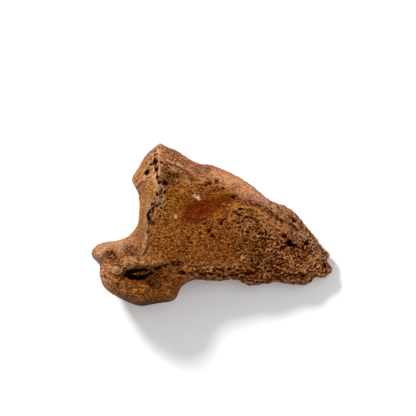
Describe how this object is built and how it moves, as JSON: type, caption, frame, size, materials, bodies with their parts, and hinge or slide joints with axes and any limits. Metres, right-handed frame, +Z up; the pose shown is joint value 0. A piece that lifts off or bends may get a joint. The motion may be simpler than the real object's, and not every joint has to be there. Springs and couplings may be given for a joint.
{
  "type": "fossil cave bear claw",
  "caption": "Fossil toe-end bone of a cave bear, the core of its claw: hooked joint face, sinew knob, flat body and a worn tip, lying on one flank.",
  "frame": {"origin": "on the table, under the middle of the bone's bounding box as it lies on its flank", "axes": "+Z up from the table, +X along the bone from the joint to the tip, +Y from the belly edge to the back edge"},
  "size_m": [0.0592, 0.04, 0.0197],
  "materials": {
    "bone": "mineral-stained porous fossil bone, satin on the worn skin and dull in the pores"
  },
  "bodies": {
    "root": {"claw_bone": "bone"}
  },
  "joints": []
}
